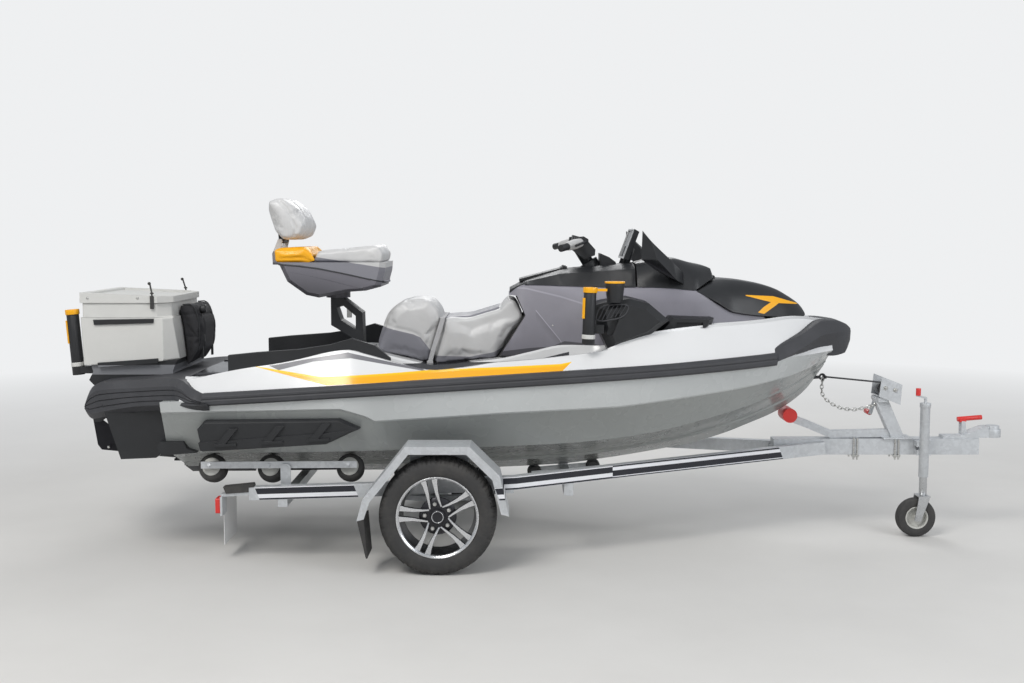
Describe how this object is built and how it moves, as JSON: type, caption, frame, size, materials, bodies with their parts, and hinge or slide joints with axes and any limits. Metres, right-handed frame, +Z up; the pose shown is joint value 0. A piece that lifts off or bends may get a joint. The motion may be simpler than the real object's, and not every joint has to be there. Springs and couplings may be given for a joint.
{
  "type": "personal watercraft on a trailer",
  "caption": "Personal watercraft with saddle seats, console, handlebar, stern cooler and swivel chair, on a single-axle trailer with road wheels and a jockey wheel.",
  "frame": {"origin": "on the floor, at the middle of the overall length and width", "axes": "+X towards the bow and the trailer's coupling, +Y to port, +Z up"},
  "size_m": [4.6427, 1.662, 1.692],
  "materials": {
    "alloy": "black alloy with machined faces",
    "black_gloss": "black satin plastic",
    "black_plastic": "black grained plastic",
    "board_white": "blank white sheet",
    "bolster_orange": "orange marine vinyl",
    "cooler_grey": "pale grey rotomoulded plastic",
    "deck_white": "off-white glossy gelcoat with an orange flash",
    "engine_iron": "dark painted castings",
    "fairing_grey": "mid grey satin plastic",
    "galvanised": "hot-dip galvanised steel",
    "hull_grey": "light grey glossy gelcoat",
    "orange_plastic": "orange plastic",
    "pump_alloy": "cast aluminium",
    "red_plastic": "red plastic",
    "rubber": "black rubber",
    "screen": "dark glass screen in a silver bezel",
    "seat_cover": "silver grey marine vinyl",
    "soft_black": "black woven fabric",
    "steel": "zinc-plated steel",
    "strap_grey": "light grey woven webbing",
    "trim_charcoal": "charcoal moulded rubber-like plastic",
    "tyre": "black tyre rubber",
    "webbing": "black woven webbing"
  },
  "bodies": {
    "craft_on_trailer": {"axle": "galvanised", "bow_stop": "red_plastic", "chair_post": "black_plastic", "chart_display": "screen", "console_fairing": "fairing_grey", "console_spine": "black_plastic", "cooler_body": "cooler_grey", "cooler_trim": "black_plastic", "coupling": "galvanised", "deck": "deck_white", "driver_seat": "seat_cover", "engine_block": "engine_iron", "gunwale_caps": "black_plastic", "hull": "hull_grey", "hull_fittings": "black_plastic", "hull_rollers": "rubber", "jockey_tube": "galvanised", "mudguards": "galvanised", "nose_hood": "black_gloss", "number_board": "board_white", "passenger_seat": "seat_cover", "pump_housing": "pump_alloy", "red_grips": "red_plastic", "rod_caps": "orange_plastic", "rod_holders": "black_plastic", "roller_cradles": "galvanised", "rub_rail": "trim_charcoal", "rubber_flaps": "rubber", "side_pods": "black_plastic", "sponsons": "black_plastic", "stern_platform": "trim_charcoal", "strap": "strap_grey", "tackle_bag": "soft_black", "tail_lamps": "red_plastic", "trailer_frame": "galvanised", "winch": "galvanised", "winch_post": "galvanised", "winch_strap": "webbing"},
    "wheel_right": {"rim_right": "alloy", "tyre_right": "tyre"},
    "wheel_left": {"rim_left": "alloy", "tyre_left": "tyre"},
    "jockey_leg": {"jockey_leg": "steel"},
    "jockey_swivel": {"jockey_fork": "steel"},
    "jockey_wheel": {"jockey_wheel": "rubber"},
    "steering": {"handlebar": "black_plastic"},
    "nozzle": {"steering_nozzle": "pump_alloy"},
    "bucket": {"reverse_bucket": "pump_alloy"},
    "impeller": {"impeller": "steel"},
    "storage_lid": {"storage_lid": "black_gloss", "mirrors": "black_gloss"},
    "glovebox_lid": {"glovebox_lid": "black_plastic"},
    "chair": {"chair_shell": "fairing_grey", "chair_cushion": "seat_cover", "chair_bolster": "bolster_orange"},
    "chair_back": {"chair_back": "seat_cover", "backrest_plate": "steel"},
    "cooler_lid": {"cooler_lid": "cooler_grey", "cooler_latches": "rubber"},
    "ladder": {"boarding_ladder": "steel"}
  },
  "joints": [
    {"name": "wheel_right_spin", "type": "hinge", "parent": "craft_on_trailer", "child": "wheel_right", "pos_m": [-0.505, -0.735, 0.264], "axis": [0, 1, 0], "continuous": true},
    {"name": "wheel_left_spin", "type": "hinge", "parent": "craft_on_trailer", "child": "wheel_left", "pos_m": [-0.505, 0.735, 0.264], "axis": [0, 1, 0], "continuous": true},
    {"name": "jockey_lift", "type": "slide", "parent": "craft_on_trailer", "child": "jockey_leg", "axis": [0, 0, 1], "range_m": [-0.03, 0.085]},
    {"name": "jockey_swivel", "type": "hinge", "parent": "jockey_leg", "child": "jockey_swivel", "pos_m": [1.892, -0.096, 0.208], "axis": [0, 0, 1], "continuous": true},
    {"name": "jockey_roll", "type": "hinge", "parent": "jockey_swivel", "child": "jockey_wheel", "pos_m": [1.858, -0.096, 0.098], "axis": [0, 1, 0], "continuous": true},
    {"name": "steering", "type": "hinge", "parent": "craft_on_trailer", "child": "steering", "pos_m": [0.222, 0, 1.352], "axis": [-0.5299, 0, 0.848], "range_deg": [-20, 20]},
    {"name": "nozzle_turn", "type": "hinge", "parent": "craft_on_trailer", "child": "nozzle", "pos_m": [-1.88, 0, 0.44], "axis": [0, 0, 1], "range_deg": [-20, 20]},
    {"name": "bucket_turn", "type": "hinge", "parent": "craft_on_trailer", "child": "bucket", "pos_m": [-1.85, 0, 0.44], "axis": [0, -1, 0], "range_deg": [0, 60]},
    {"name": "impeller_spin", "type": "hinge", "parent": "craft_on_trailer", "child": "impeller", "pos_m": [-1.6, 0, 0.44], "axis": [1, 0, 0], "continuous": true},
    {"name": "storage_lid_hinge", "type": "hinge", "parent": "craft_on_trailer", "child": "storage_lid", "pos_m": [0.822, 0, 1.306], "axis": [0, 1, 0], "range_deg": [0, 60]},
    {"name": "glovebox_hinge", "type": "hinge", "parent": "craft_on_trailer", "child": "glovebox_lid", "pos_m": [0.084, 0, 1.35407], "axis": [0, 1, 0], "range_deg": [0, 70]},
    {"name": "chair_swivel", "type": "hinge", "parent": "craft_on_trailer", "child": "chair", "pos_m": [-1.048, 0, 1.2], "axis": [0, 0, 1], "continuous": true},
    {"name": "backrest_fold", "type": "hinge", "parent": "chair", "child": "chair_back", "pos_m": [-1.322, 0, 1.482], "axis": [0, 1, 0], "range_deg": [0, 15]},
    {"name": "cooler_lid_hinge", "type": "hinge", "parent": "craft_on_trailer", "child": "cooler_lid", "pos_m": [-2.252, 0, 1.186], "axis": [0, -1, 0], "range_deg": [0, 88]},
    {"name": "ladder_fold", "type": "hinge", "parent": "craft_on_trailer", "child": "ladder", "pos_m": [-2.222, 0, 0.608], "axis": [0, 1, 0], "range_deg": [0, 60]}
  ],
  "couplings": [
    {"joint": "nozzle_turn", "follows": "steering", "ratio": 1}
  ]
}
